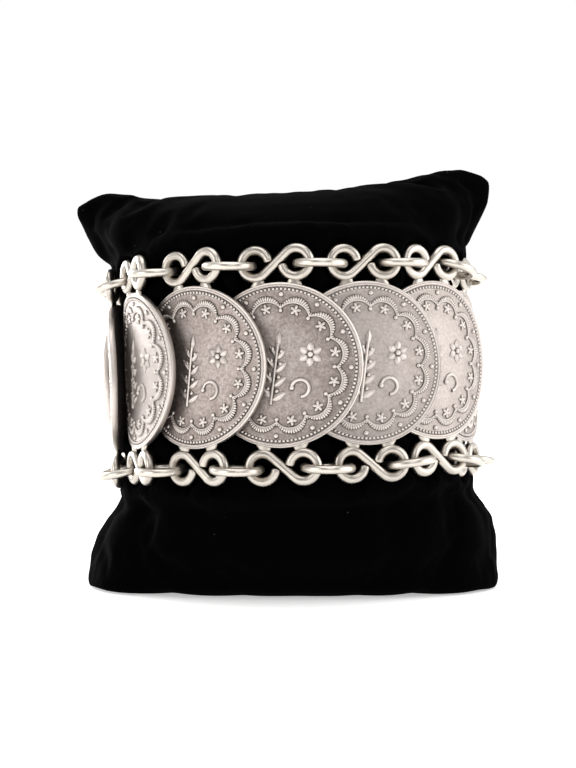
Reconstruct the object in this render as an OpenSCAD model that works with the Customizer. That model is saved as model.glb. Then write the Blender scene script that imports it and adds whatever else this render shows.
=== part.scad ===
// Coin bracelet on a stuffed velvet display pillow. All sizes are in millimetres.
// The origin is on the surface, in the middle of the pillow's foot. +Z is up and the front looks along -Y.

/* [Bracelet] */
// Radius of the circle that the middles of the links lie on
loop_r = 33; // [32.5:0.1:33.5]
// Height of the bracelet's middle above the surface
loop_z = 40.3; // [40:0.1:40.6]
// Sideways place of the bracelet's middle on the pillow
loop_x = 1; // [0.5:0.1:1.5]
// Angle by which the bracelet's right side is raised
loop_roll = 2.2; // [1.8:0.1:2.4]
// Angle by which the bracelet's axis leans back at the top
loop_lean = 2.2; // [1.8:0.1:2.4]

/* [Coin] */
// Radius of a coin
coin_r = 13.85; // [13.7:0.05:13.95]
// Thickness of a coin's plate under its relief
coin_t = 0.95; // [0.85:0.05:1]
// Height of the raised rim, crescents, stars and sprig
relief_h = 0.25; // [0.15:0.05:0.3]
// Radius that a coin is bent to about an upright axis, to follow the wrist
bend_r = 38; // [37:0.5:38]
// Angle by which a coin's right edge stands out over the next coin
shingle = 8; // [8:0.25:9]
// Angle by which the design is turned clockwise on the coin
stamp_roll = 4.2; // [0:0.1:8]

/* [Scrolls] */
// Height of a scroll's middle above the coin's middle
scroll_z = 17.08; // [17.04:0.02:17.2]
// Half the distance between a scroll's two eyes
eye_x = 3.5; // [3.45:0.05:3.55]
// Radius of an eye, to the middle of its wire
eye_r = 2.32; // [2.3:0.01:2.36]
// Thickness of the scroll's wire
scroll_w = 1.5; // [1.3:0.05:1.5]

/* [Jump rings] */
// Radius of a jump ring, to the middle of its wire
ring_r = 3.88; // [3.85:0.01:3.92]
// Thickness of the ring's wire
ring_w = 1.24; // [1.1:0.02:1.26]
// Distance that a ring hangs below the middle of its eyes
ring_drop = 0.3; // [0:0.05:0.35]

/* [Clasp] */
// Width of the upright bar, which is as thick as a coin's plate
bar_w = 3; // [2.4:0.1:3.4]
// Length of the upright bar
bar_h = 39; // [37:1:40]

/* [Hidden] */
$fn = 48;

silver = "#b9b5ad";
bright_silver = "#d6d1c6";
velvet = "#0b0b0e";

// Loop: thirteen coin links and the clasp share the circle, and link 7 faces the front.
// The front links are pulled a little further apart than those at the back.
unit_count = 14;
turn = 360 / unit_count;
front_link = 7;
front_angle = -4.2;
front_stretch = 1.6;
// Extra angle by which each link's right edge stands out, for the coins that are pushed outwards
extra_shingle = [0, 0, 1.5, 7, 3, 0, 0, 0, 3, 2, 1.5, 1.5, 1, 0];
// Height that each link hangs above or below the tilted plane of the loop
unit_lift = [0, 0, 0, -0.1, 0.7, 0.5, 0.2, 0.1, 0.5, -0.3, -0.3, 0, 0, 0];
// Distance by which each link stands outside the loop's circle, where a minus is inside it
unit_out = [0, 0, -0.4, -0.4, 0.1, 0, 0, 0, -0.1, -0.9, -1, -0.8, -0.5, 0];

// Coin design, as shares of the coin's radius
rim_inner = 0.955;
dot_circle = 0.855;
dot_r = 0.032;
crescent_out_circle = 0.667;
crescent_out_r = 0.172;
crescent_in_circle = 0.578;
crescent_in_r = 0.199;
star_circle = 0.684;
star_r = 0.058;
star_waist = 0.42;
arch_count = 12;
arch_step = 360 / arch_count;

// Sprig of leaves left of the middle: [distance up the stem, side, leaf length, angle from the stem]
sprig_leaves = [
    [0.05, 1, 0.21, 54], [0.09, -1, 0.21, 56],
    [0.22, 1, 0.20, 48], [0.26, -1, 0.20, 50],
    [0.39, 1, 0.19, 44], [0.43, -1, 0.19, 45],
    [0.55, 1, 0.16, 38], [0.58, -1, 0.16, 40],
    [0.70, 0, 0.19, 0],
];
sprig_foot = [-0.08, -0.48];
sprig_lean = 5;
stem_length = 0.74;
stem_w = 0.045;
// Rosette right of the middle
rosette_place = [0.37, 0.14];
rosette_petals = 6;
petal_length = 0.13;
petal_width = 0.08;
// Small curled tendril at the lower right
tendril_place = [0.27, -0.27];
tendril_r = 0.12;
tendril_w = 0.035;

// Scroll: the bar is the line that touches both eyes, seen in the scroll's own plane
bar_lean = asin(eye_r / eye_x);
bar_half = sqrt(eye_x * eye_x - eye_r * eye_r);
scroll_free_end = 8;
lug_x = 3.1;
lug_w = 2.2;
lug_t = 0.9;
lug_low = coin_r - 0.9;
lug_high = scroll_z - eye_r - 0.1;
overlap = 0.25;

// Rings: tilt of each ring about the line between its two eyes
top_tilts = [3, -4, 2, 14, 6, 5, 4, 3, 15, 8, -3, 4, -2, 3];
low_tilts = [-3, 4, -2, 11, 6, 5, 4, -5, 11, 7, 2, -3, 4, -2];

// Ridge of the pillow's top seam, from its left corner to its right one: [x, z]
ridge = [
    [-39.9, 70.6], [-39.6, 71.4], [-38.7, 72.1], [-37.2, 73.0], [-34.9, 73.9], [-33.8, 74.3], [-30.9, 74.2],
    [-28.1, 73.5], [-25.2, 73.0], [-9.1, 73.2], [0.4, 73.7], [8.9, 74.5], [14.6, 75.4], [20.3, 76.5],
    [26, 77.8], [28.8, 78.6], [31.7, 79.0], [34.5, 78.4], [37.4, 77.4], [38.2, 76.3],
];
ridge_base = 62.4;
ridge_half = 39.1;
ridge_mid = -0.8;

// Where the bracelet presses the pillow in: the waist, and a groove behind each row of rings.
// Each is a half width and a half depth.
waist = [28.7, 30];
waist_mid = [26.9, 28.2];
groove = [26, 27.1];

// Sections of the pillow from its foot to its top seam.
// Columns: height, half width, half depth, middle x, roundness power, share of the ridge, share of the lean
sections = [
    [0.0, 38.0, 14.4, 0.9, 3.0, 0, 0],
    [0.4, 38.6, 16.6, 0.9, 2.8, 0, 0],
    [1.2, 38.9, 19.0, 0.9, 2.5, 0, 0],
    [2.8, 38.9, 21.4, 1.0, 2.2, 0, 0],
    [5.6, 38.5, 24.2, 1.1, 2.1, 0, 0],
    [9.5, 37.8, 27.0, 1.6, 2.0, 0, 0],
    [13.0, 36.4, 29.0, 2.1, 2.0, 0, 0.3],
    [16.0, 34.2, 30.4, 1.7, 2.0, 0, 0.8],
    [18.2, 32.9, 31.2, 1.2, 2.0, 0, 1],
    [loop_z - 21.4, 32.2, 31.2, 0.8, 2.0, 0, 1],
    [loop_z - 20.7, 30.3, 30.2, 0.9, 2.0, 0, 1],
    [loop_z - 19.5, groove[0], groove[1], loop_x, 2.0, 0, 1],
    [loop_z - 15.4, groove[0], groove[1], loop_x, 2.0, 0, 1],
    [loop_z - 14.4, waist[0], waist[1], loop_x, 2.0, 0, 1],
    [loop_z, waist_mid[0], waist_mid[1], loop_x, 2.0, 0, 1],
    [loop_z + 14.4, waist[0], waist[1], loop_x, 2.0, 0, 1],
    [loop_z + 15.3, groove[0], groove[1], loop_x, 2.0, 0, 1],
    [loop_z + 19.3, groove[0], groove[1], loop_x, 2.0, 0, 1],
    [loop_z + 20.2, 28.4, 29.4, 0.8, 2.0, 0, 1],
    [loop_z + 20.9, 30.6, 30.2, 0.3, 2.0, 0, 1],
    [loop_z + 21.5, 33.2, 32.0, -0.4, 2.0, 0, 1],
    [ridge_base, 34.3, 31.0, -0.5, 2.0, 0.04, 1],
    [ridge_base, 35.1, 29.2, -0.8, 2.0, 0.16, 0.7],
    [ridge_base, 36.3, 26.6, -0.8, 2.0, 0.34, 0.4],
    [ridge_base, 37.5, 22.6, -0.6, 1.9, 0.54, 0.2],
    [ridge_base, 38.3, 17.6, -0.7, 1.8, 0.72, 0],
    [ridge_base, 38.8, 12.0, -0.8, 1.7, 0.86, 0],
    [ridge_base, 39.1, 6.4, -0.9, 1.7, 0.95, 0],
    [ridge_base, ridge_half, 1.4, ridge_mid, 1.7, 1, 0],
];
section_points = 48;

function unit_angle(k) = front_angle + turn * (k - front_link) + front_stretch * sin(turn * (k - front_link));
function unit_yaw(k) = unit_angle(k) - shingle - extra_shingle[(k - 1) % unit_count];
function unit_r(k) = loop_r + unit_out[(k - 1) % unit_count];
function unit_middle(k) =
    [unit_r(k) * sin(unit_angle(k)), -unit_r(k) * cos(unit_angle(k)), unit_lift[(k - 1) % unit_count]];
// Point on a unit's right (1) or left (-1) side, at a distance from its middle
function side_point(k, side, distance) =
    unit_middle(k) + side * distance * [cos(unit_yaw(k)), sin(unit_yaw(k)), 0];
function power_curve(value, power) = sign(value) * pow(abs(value), 2 / power);

// Height of one point of a pillow section, at x and y
function section_z(row, x, y) =
    row[0] + row[5] * (lookup(x, ridge) - row[0])
    + row[6] * ((x - loop_x) * sin(loop_roll) - y * sin(loop_lean));

function section_point(row, angle) =
    let (x = row[3] + row[1] * power_curve(cos(angle), row[4]),
         y = row[2] * power_curve(sin(angle), row[4]))
    [x, y, section_z(row, x, y)];

module place_on_pillow() {
    translate([loop_x, 0, loop_z]) rotate([-loop_lean, -loop_roll, 0]) children();
}

module place_unit(k) {
    place_on_pillow() translate(unit_middle(k)) rotate([0, 0, unit_yaw(k)]) children();
}

// Layer of the bent coin between two depths, measured outwards from the coin's face.
// The middle of the plate is in the plane of the scrolls.
module bent_layer(low, high) {
    translate([0, bend_r - coin_t / 2, 0]) difference() {
        cylinder(h = 4 * coin_r, r = bend_r + high, center = true, $fn = 128);
        cylinder(h = 5 * coin_r, r = bend_r + low, center = true, $fn = 128);
    }
}

module coin_plate() {
    intersection() {
        rotate([90, 0, 0]) cylinder(h = 2 * coin_r, r = coin_r, center = true, $fn = 96);
        bent_layer(-coin_t, 0);
    }
}

module star(r) {
    polygon([for (k = [0 : 9]) (k % 2 == 0 ? r : star_waist * r) * [sin(36 * k), cos(36 * k)]]);
}

// Pointed leaf that starts at the origin and grows along +Y
module leaf(length, width) {
    round_r = (length * length + width * width) / (4 * width);
    intersection() {
        translate([round_r - width / 2, length / 2]) circle(r = round_r, $fn = 64);
        translate([width / 2 - round_r, length / 2]) circle(r = round_r, $fn = 64);
    }
}

module rim_ring() {
    difference() {
        circle(r = coin_r, $fn = 96);
        circle(r = rim_inner * coin_r, $fn = 96);
    }
}

// One arch of the border: a crescent over a star
module arch() {
    difference() {
        translate([crescent_out_circle * coin_r, 0]) circle(r = crescent_out_r * coin_r, $fn = 40);
        translate([crescent_in_circle * coin_r, 0]) circle(r = crescent_in_r * coin_r, $fn = 40);
    }
    translate([star_circle * coin_r, 0]) rotate(-90) star(star_r * coin_r);
}

module border() {
    for (k = [0 : arch_count - 1]) rotate(arch_step * k) {
        translate([dot_circle * coin_r, 0]) circle(r = dot_r * coin_r, $fn = 16);
        rotate(arch_step / 2) arch();
    }
}

module sprig() {
    translate(sprig_foot * coin_r) rotate(-sprig_lean) {
        translate([-stem_w * coin_r / 2, 0]) square([stem_w, stem_length] * coin_r);
        for (row = sprig_leaves) translate([0, row[0] * coin_r]) rotate(-row[1] * row[3])
            leaf(row[2] * coin_r, row[2] * coin_r * 0.36);
    }
}

module rosette() {
    translate(rosette_place * coin_r) for (k = [0 : rosette_petals - 1]) rotate(360 / rosette_petals * k)
        translate([0, 0.02 * coin_r]) leaf(petal_length * coin_r, petal_width * coin_r);
}

module tendril() {
    translate(tendril_place * coin_r) difference() {
        circle(r = tendril_r * coin_r, $fn = 40);
        circle(r = (tendril_r - tendril_w) * coin_r, $fn = 40);
        translate([-coin_r * tendril_r, 0]) square(coin_r * tendril_r);
    }
}

module coin_relief() {
    intersection() {
        rotate([90, 0, 0]) linear_extrude(2 * coin_r, center = true) rotate(-stamp_roll) {
            rim_ring();
            border();
            sprig();
            rosette();
            tendril();
        }
        bent_layer(-0.3, relief_h);
    }
}

module scroll_section() {
    rotate(22.5) circle(r = scroll_w / 2 / cos(22.5), $fn = 8);
}

// Wire bent into two eyes that are joined by a slanted bar, standing in the XZ plane
module scroll() {
    rotate([90, 0, 0]) {
        for (s = [0, 1]) rotate([0, 0, 180 * s]) translate([-eye_x, 0, 0]) rotate([0, 0, scroll_free_end])
            rotate_extrude(angle = 270 + bar_lean - scroll_free_end) translate([eye_r, 0]) scroll_section();
        rotate([0, 0, bar_lean]) rotate([0, 90, 0]) linear_extrude(2 * (bar_half + overlap), center = true)
            scale(0.97) scroll_section();
    }
}

module lug(x) {
    translate([x - lug_w / 2, -lug_t / 2, lug_low]) cube([lug_w, lug_t, lug_high - lug_low]);
}

module coin_link(k) {
    place_unit(k) color(silver) {
        coin_plate();
        coin_relief();
        for (s = [0, 1]) mirror([0, 0, s]) {
            translate([0, 0, scroll_z]) scroll();
            lug(-lug_x);
            lug(lug_x);
        }
    }
}

// Ring that joins unit k to the next one, in the row at height z. It is centred between the outermost
// wires of the two eyes that it holds, and tilted about the line between them.
module jump_ring(k, z, tilt) {
    from = side_point(k, 1, eye_x + eye_r);
    to = side_point(k + 1, -1, eye_x + eye_r);
    middle = (from + to) / 2;
    heading = atan2(to[1] - from[1], to[0] - from[0]);
    climb = atan2(to[2] - from[2], norm([to[0] - from[0], to[1] - from[1]]) + 2 * eye_r);
    place_on_pillow() translate(middle + [0, 0, z - ring_drop]) rotate([tilt, -climb, heading])
        color(bright_silver) rotate_extrude($fn = 64) translate([ring_r, 0]) circle(r = ring_w / 2, $fn = 24);
}

module top_ring(k) {
    jump_ring(k, scroll_z, top_tilts[k - 1]);
}

module low_ring(k) {
    jump_ring(k, -scroll_z, low_tilts[k - 1]);
}

// Plain upright flat bar with an eye for each of its four rings
module clasp() {
    place_unit(unit_count) color(silver) {
        cube([bar_w, coin_t, bar_h], center = true);
        for (x = [-eye_x, eye_x]) for (z = [-scroll_z, scroll_z]) translate([x, 0, z]) rotate([90, 0, 0])
            rotate_extrude() translate([eye_r, 0]) circle(r = scroll_w / 2, $fn = 24);
    }
}

module pillow() {
    step = 360 / section_points;
    points = [for (row = sections) for (j = [0 : section_points - 1]) section_point(row, step * j)];
    last = (len(sections) - 1) * section_points;
    half = section_points / 2;
    sides = [
        for (i = [0 : len(sections) - 2]) for (j = [0 : section_points - 1])
            let (a = i * section_points + j, b = i * section_points + (j + 1) % section_points)
            each [[a, a + section_points, b], [b, a + section_points, b + section_points]]
    ];
    foot = [[for (j = [0 : section_points - 1]) j]];
    seam = [
        for (j = [0 : half - 1])
            let (a = last + j, b = last + j + 1, c = last + section_points - j - 1,
                 d = last + (section_points - j) % section_points)
            each concat(j < half - 1 ? [[a, c, b]] : [], j > 0 ? [[a, d, c]] : [])
    ];
    color(velvet) polyhedron(points, concat(sides, foot, seam));
}

pillow();
clasp();
coin_link(1);  // coin_link_01
coin_link(2);  // coin_link_02
coin_link(3);  // coin_link_03
coin_link(4);  // coin_link_04
coin_link(5);  // coin_link_05
coin_link(6);  // coin_link_06
coin_link(7);  // coin_link_07
coin_link(8);  // coin_link_08
coin_link(9);  // coin_link_09
coin_link(10);  // coin_link_10
coin_link(11);  // coin_link_11
coin_link(12);  // coin_link_12
coin_link(13);  // coin_link_13
top_ring(1);  // top_ring_01
top_ring(2);  // top_ring_02
top_ring(3);  // top_ring_03
top_ring(4);  // top_ring_04
top_ring(5);  // top_ring_05
top_ring(6);  // top_ring_06
top_ring(7);  // top_ring_07
top_ring(8);  // top_ring_08
top_ring(9);  // top_ring_09
top_ring(10);  // top_ring_10
top_ring(11);  // top_ring_11
top_ring(12);  // top_ring_12
top_ring(13);  // top_ring_13
top_ring(14);  // top_ring_14
low_ring(1);  // low_ring_01
low_ring(2);  // low_ring_02
low_ring(3);  // low_ring_03
low_ring(4);  // low_ring_04
low_ring(5);  // low_ring_05
low_ring(6);  // low_ring_06
low_ring(7);  // low_ring_07
low_ring(8);  // low_ring_08
low_ring(9);  // low_ring_09
low_ring(10);  // low_ring_10
low_ring(11);  // low_ring_11
low_ring(12);  // low_ring_12
low_ring(13);  // low_ring_13
low_ring(14);  // low_ring_14
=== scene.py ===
"""Coin bracelet on a velvet display pillow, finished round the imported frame.

Thirteen cast coins carry a scroll of wire above and below, jump rings join the scrolls to each other and
to a plain bar, and the whole loop stands round a stuffed black velvet pillow. Every mesh is built in
metres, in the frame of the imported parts, and replaces the plain solid of the same place.
"""
import logging
import math
from contextlib import contextmanager
from dataclasses import dataclass, field
from enum import Enum
from typing import Callable, Iterator

import bpy
from mathutils import Euler, Matrix, Vector
from mathutils.bvhtree import BVHTree


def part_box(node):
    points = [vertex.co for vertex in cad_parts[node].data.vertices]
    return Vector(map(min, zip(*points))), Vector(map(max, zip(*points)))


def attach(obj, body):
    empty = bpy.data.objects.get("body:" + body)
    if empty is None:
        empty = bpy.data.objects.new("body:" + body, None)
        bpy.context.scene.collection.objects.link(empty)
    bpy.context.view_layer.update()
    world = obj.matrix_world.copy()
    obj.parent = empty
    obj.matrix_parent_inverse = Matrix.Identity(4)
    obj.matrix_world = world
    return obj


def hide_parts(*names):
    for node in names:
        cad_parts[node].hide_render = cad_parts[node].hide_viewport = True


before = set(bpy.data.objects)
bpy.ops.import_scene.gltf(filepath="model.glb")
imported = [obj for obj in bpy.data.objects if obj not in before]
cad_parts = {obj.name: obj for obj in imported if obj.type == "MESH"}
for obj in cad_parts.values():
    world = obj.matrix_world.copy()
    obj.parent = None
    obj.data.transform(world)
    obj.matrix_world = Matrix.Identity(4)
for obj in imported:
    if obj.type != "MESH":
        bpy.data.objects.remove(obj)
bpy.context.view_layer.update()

MM = 0.001
# Vertices nearer to each other than this become one.
WELD = 0.002 * MM
# Height in pixels of the photograph that the camera is fitted to.
PHOTO_HEIGHT = 768
log = logging.getLogger("bracelet")


class Row(Enum):
    """The two rows of scrolls and rings, above and below the coins."""

    TOP = 1
    LOW = -1


class Finish(Enum):
    """The three finishes of the object, by name."""

    CAST = "antique_silver"
    WIRE = "polished_silver"
    CLOTH = "velvet"


def linear(colour: str) -> tuple[float, float, float, float]:
    """Turn an sRGB hex colour into the linear one that a shader takes.

    Args:
        colour: six hex digits after a hash sign.

    Returns:
        Linear red, green and blue, with an alpha of 1.
    """
    channels = []
    for start in (1, 3, 5):
        value = int(colour[start:start + 2], 16) / 255
        channels.append(value / 12.92 if value <= 0.04045 else ((value + 0.055) / 1.055) ** 2.4)
    return (*channels, 1.0)


def deselect() -> None:
    """Leave object mode with nothing selected."""
    if bpy.context.mode != "OBJECT":
        bpy.ops.object.mode_set(mode="OBJECT")
    bpy.ops.object.select_all(action="DESELECT")


def take_up(piece: bpy.types.Object) -> None:
    """Make one piece the only selected and the active one.

    Args:
        piece: the piece to take up.
    """
    deselect()
    piece.select_set(True)
    bpy.context.view_layer.objects.active = piece


def settle(name: str = "") -> bpy.types.Object:
    """Put the place of the active piece into its mesh, and name it.

    Args:
        name: new name of the piece, or nothing to keep its name.

    Returns:
        The active piece, with its object at the origin, unturned and unscaled.
    """
    piece = bpy.context.object
    bpy.ops.object.transform_apply(location=True, rotation=True, scale=True)
    if name:
        piece.name = name
        piece.data.name = name
    return piece


@contextmanager
def editing(piece: bpy.types.Object, select: bool = True) -> Iterator[bpy.types.Mesh]:
    """Edit one piece, with all or none of its mesh selected at the start.

    Args:
        piece: the piece to edit.
        select: whether its whole mesh starts selected.

    Yields:
        The mesh of the piece.
    """
    take_up(piece)
    bpy.ops.object.mode_set(mode="EDIT")
    bpy.ops.mesh.select_mode(type="VERT")
    bpy.ops.mesh.select_all(action="SELECT" if select else "DESELECT")
    yield piece.data
    bpy.ops.object.mode_set(mode="OBJECT")


def select_where(piece: bpy.types.Object, test: Callable[[Vector], bool]) -> None:
    """Select, in edit mode, the vertices whose place passes a test.

    Args:
        piece: the piece in edit mode.
        test: takes a vertex's place and says whether it is selected.
    """
    bpy.ops.object.mode_set(mode="OBJECT")
    for vertex in piece.data.vertices:
        vertex.select = test(vertex.co)
    bpy.ops.object.mode_set(mode="EDIT")


def tidy_mesh(piece: bpy.types.Object, distance: float = WELD) -> None:
    """Merge a piece's doubles and point its faces outwards.

    Args:
        piece: the piece to clean.
        distance: vertices nearer to each other than this become one.
    """
    with editing(piece):
        bpy.ops.mesh.remove_doubles(threshold=distance)
        bpy.ops.mesh.normals_make_consistent(inside=False)


def apply_modifier(piece: bpy.types.Object, kind: str, **settings: object) -> None:
    """Add a modifier to a piece and apply it.

    Args:
        piece: the piece to change.
        kind: the modifier's type.
        settings: values of the modifier's properties.
    """
    take_up(piece)
    modifier = piece.modifiers.new(kind.title(), kind)
    for key, value in settings.items():
        setattr(modifier, key, value)
    bpy.ops.object.modifier_apply(modifier=modifier.name)


def fuse(name: str, parts: list[bpy.types.Object]) -> bpy.types.Object:
    """Join parts into one piece.

    Args:
        name: name of the joined piece.
        parts: the parts, of which the first takes in the others.

    Returns:
        The joined piece.
    """
    take_up(parts[0])
    for part in parts[1:]:
        part.select_set(True)
    bpy.ops.object.join()
    parts[0].name = name
    parts[0].data.name = name
    return parts[0]


def repeat_round(piece: bpy.types.Object, count: int) -> None:
    """Repeat a piece's whole mesh evenly round the Z axis.

    Args:
        piece: the piece that becomes the ring of copies.
        count: how many there are in the full circle.
    """
    with editing(piece):
        angle = math.tau * (count - 1) / count
        bpy.ops.mesh.spin(steps=count - 1, dupli=True, angle=angle, center=(0, 0, 0), axis=(0, 0, 1))


def ball(
    place: tuple, size: tuple, segments: int = 10, rings: int = 6, turn: float = 0
) -> bpy.types.Object:
    """Add an oval ball whose half sizes lie along X, Y and Z before it is turned about Z.

    Args:
        place: its middle.
        size: its three half sizes.
        segments: faces round it.
        rings: faces from pole to pole.
        turn: angle about Z, in radians.

    Returns:
        The new piece.
    """
    deselect()
    bpy.ops.mesh.primitive_uv_sphere_add(
        segments=segments, ring_count=rings, radius=1, location=place, rotation=(0, 0, turn), scale=size
    )
    return settle()


def swept_arc(
    centre: Vector, radius: float, start: float, angle: float, wire: float, sides: int, steps: int
) -> bpy.types.Object:
    """Sweep a round wire anticlockwise along an arc in the XY plane, with closed ends.

    The spin operator turns clockwise for a positive angle, so it is given the angle's opposite.

    Args:
        centre: middle of the arc.
        radius: radius of the wire's middle line.
        start: angle at which the arc starts, in radians.
        angle: angle that it turns through, in radians.
        wire: radius of the wire.
        sides: sides of its section.
        steps: steps along the arc.

    Returns:
        The new piece.
    """
    deselect()
    place = centre + Vector((radius * math.cos(start), radius * math.sin(start), 0))
    bpy.ops.mesh.primitive_circle_add(
        vertices=sides, radius=wire, location=place, rotation=(math.pi / 2, 0, start), fill_type="NGON"
    )
    piece = settle()
    with editing(piece):
        bpy.ops.mesh.spin(steps=steps, angle=-angle, center=centre, axis=(0, 0, 1))
    tidy_mesh(piece)
    return piece


def smooth(piece: bpy.types.Object, degrees: float = 40) -> None:
    """Shade a piece smooth, except over edges sharper than an angle."""
    take_up(piece)
    bpy.ops.object.shade_smooth_by_angle(angle=math.radians(degrees))


def add_node(
    tree: bpy.types.NodeTree,
    kind: str,
    values: dict | None = None,
    links: dict | None = None,
    **settings: object,
) -> bpy.types.Node:
    """Add a shader node with its settings and links.

    Args:
        tree: the material's node tree.
        kind: the node's type.
        values: default value of each named or numbered input.
        links: output socket that feeds each named or numbered input.
        settings: the node's own properties.

    Returns:
        The new node.
    """
    node = tree.nodes.new(kind)
    for key, value in settings.items():
        setattr(node, key, value)
    for key, value in (values or {}).items():
        node.inputs[key].default_value = value
    for key, output in (links or {}).items():
        tree.links.new(output, node.inputs[key])
    return node


def new_material(name: str) -> tuple[bpy.types.Material, bpy.types.Node]:
    """Start a material.

    Args:
        name: the material's name.

    Returns:
        The material and its Principled shader.
    """
    material = bpy.data.materials.new(name)
    material.use_nodes = True
    return material, material.node_tree.nodes["Principled BSDF"]


@dataclass(frozen=True)
class AntiqueSilver:
    """Silver-plated cast alloy, blackened in a bath and rubbed back by hand."""

    # The bath stays dark in the corners of the relief, the field keeps a mottled warm grey film, and the
    # raised work and the edges shine. Each coin is also evened out towards one mid tone by its own share,
    # partly for wear from hands and partly as painted light, which lifts the dark and tones down the
    # bright where the side lamps fall on the coins at the left and right.
    name: str = "antique_silver_cast"
    recess: str = "#3b342e"
    film: str = "#b3a9a4"
    clouded: str = "#857a74"
    rubbed: str = "#dfd7d0"
    handled_and_lit: str = "#aca5a0"
    film_roughness: float = 0.5
    rubbed_roughness: float = 0.33
    recess_reach: float = 0.85 * MM
    recess_fade: tuple[float, float] = (0.5, 0.95)
    film_range: tuple[float, float] = (0.5, 0.88)
    bath_pull: float = 0.1
    cloud_share: float = 0.35
    mottle: float = 0.5 * MM
    cloud: float = 4.0 * MM
    # Casting sand leaves grains of about 0.1 mm, which are drawn twice as coarse so that they show.
    grain: float = 0.2 * MM
    grain_depth: float = 0.05 * MM
    grain_strength: float = 0.9

    def build(self) -> bpy.types.Material:
        """Make the material.

        Returns:
            The new material.
        """
        material, shader = new_material(self.name)
        tree = material.node_tree
        place = add_node(tree, "ShaderNodeTexCoord").outputs["Object"]
        grain = add_node(
            tree,
            "ShaderNodeTexNoise",
            {"Scale": 1 / self.grain, "Detail": 3, "Roughness": 0.65},
            {"Vector": place},
        )
        mottle = add_node(
            tree,
            "ShaderNodeTexNoise",
            {"Scale": 1 / self.mottle, "Detail": 4, "Roughness": 0.7},
            {"Vector": place},
        )
        cloud = add_node(
            tree,
            "ShaderNodeTexNoise",
            {"Scale": 1 / self.cloud, "Detail": 3, "Roughness": 0.5},
            {"Vector": place},
        )
        rub = add_node(tree, "ShaderNodeAttribute", attribute_name="rub").outputs["Fac"]
        bath = add_node(tree, "ShaderNodeAttribute", attribute_name="bath").outputs["Fac"]
        corner = add_node(
            tree, "ShaderNodeAmbientOcclusion", {"Distance": self.recess_reach}, samples=12, only_local=True
        )
        open_air = add_node(
            tree,
            "ShaderNodeMapRange",
            {"From Min": self.recess_fade[0], "From Max": self.recess_fade[1]},
            {"Value": corner.outputs["AO"]},
            interpolation_type="SMOOTHSTEP",
        )
        blotch = add_node(
            tree,
            "ShaderNodeMath",
            {1: self.cloud_share},
            {0: cloud.outputs["Fac"], 2: mottle.outputs["Fac"]},
            operation="MULTIPLY_ADD",
        )
        bathed = add_node(
            tree,
            "ShaderNodeMath",
            {1: -self.bath_pull},
            {0: bath, 2: blotch.outputs["Value"]},
            operation="MULTIPLY_ADD",
        )
        mottled = add_node(
            tree,
            "ShaderNodeMapRange",
            {"From Min": self.film_range[0], "From Max": self.film_range[1]},
            {"Value": bathed.outputs["Value"]},
        )
        film = add_node(
            tree,
            "ShaderNodeMix",
            {"A": linear(self.clouded), "B": linear(self.film)},
            {"Factor": mottled.outputs["Result"]},
            data_type="RGBA",
        )
        rubbed = add_node(
            tree,
            "ShaderNodeMix",
            {"B": linear(self.rubbed)},
            {"Factor": rub, "A": film.outputs["Result"]},
            data_type="RGBA",
        )
        colour = add_node(
            tree,
            "ShaderNodeMix",
            {"A": linear(self.recess)},
            {"Factor": open_air.outputs["Result"], "B": rubbed.outputs["Result"]},
            data_type="RGBA",
        )
        # Partly painted light: the per-coin share evens the colour out towards a mid tone and lifts the
        # dark recesses as side light would. The rest of it stands for wear from hands.
        handling_and_light = add_node(tree, "ShaderNodeAttribute", attribute_name="handling_and_light").outputs["Fac"]
        handled_and_lit = add_node(
            tree,
            "ShaderNodeMix",
            {"B": linear(self.handled_and_lit)},
            {"Factor": handling_and_light, "A": colour.outputs["Result"]},
            data_type="RGBA",
        )
        roughness = add_node(
            tree,
            "ShaderNodeMapRange",
            {"To Min": self.film_roughness, "To Max": self.rubbed_roughness},
            {"Value": rub},
        )
        bump = add_node(
            tree,
            "ShaderNodeBump",
            {"Strength": self.grain_strength, "Distance": self.grain_depth},
            {"Height": grain.outputs["Fac"]},
        )
        shader.inputs["Metallic"].default_value = 1
        tree.links.new(handled_and_lit.outputs["Result"], shader.inputs["Base Color"])
        tree.links.new(roughness.outputs["Result"], shader.inputs["Roughness"])
        tree.links.new(bump.outputs["Normal"], shader.inputs["Normal"])
        return material


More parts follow.
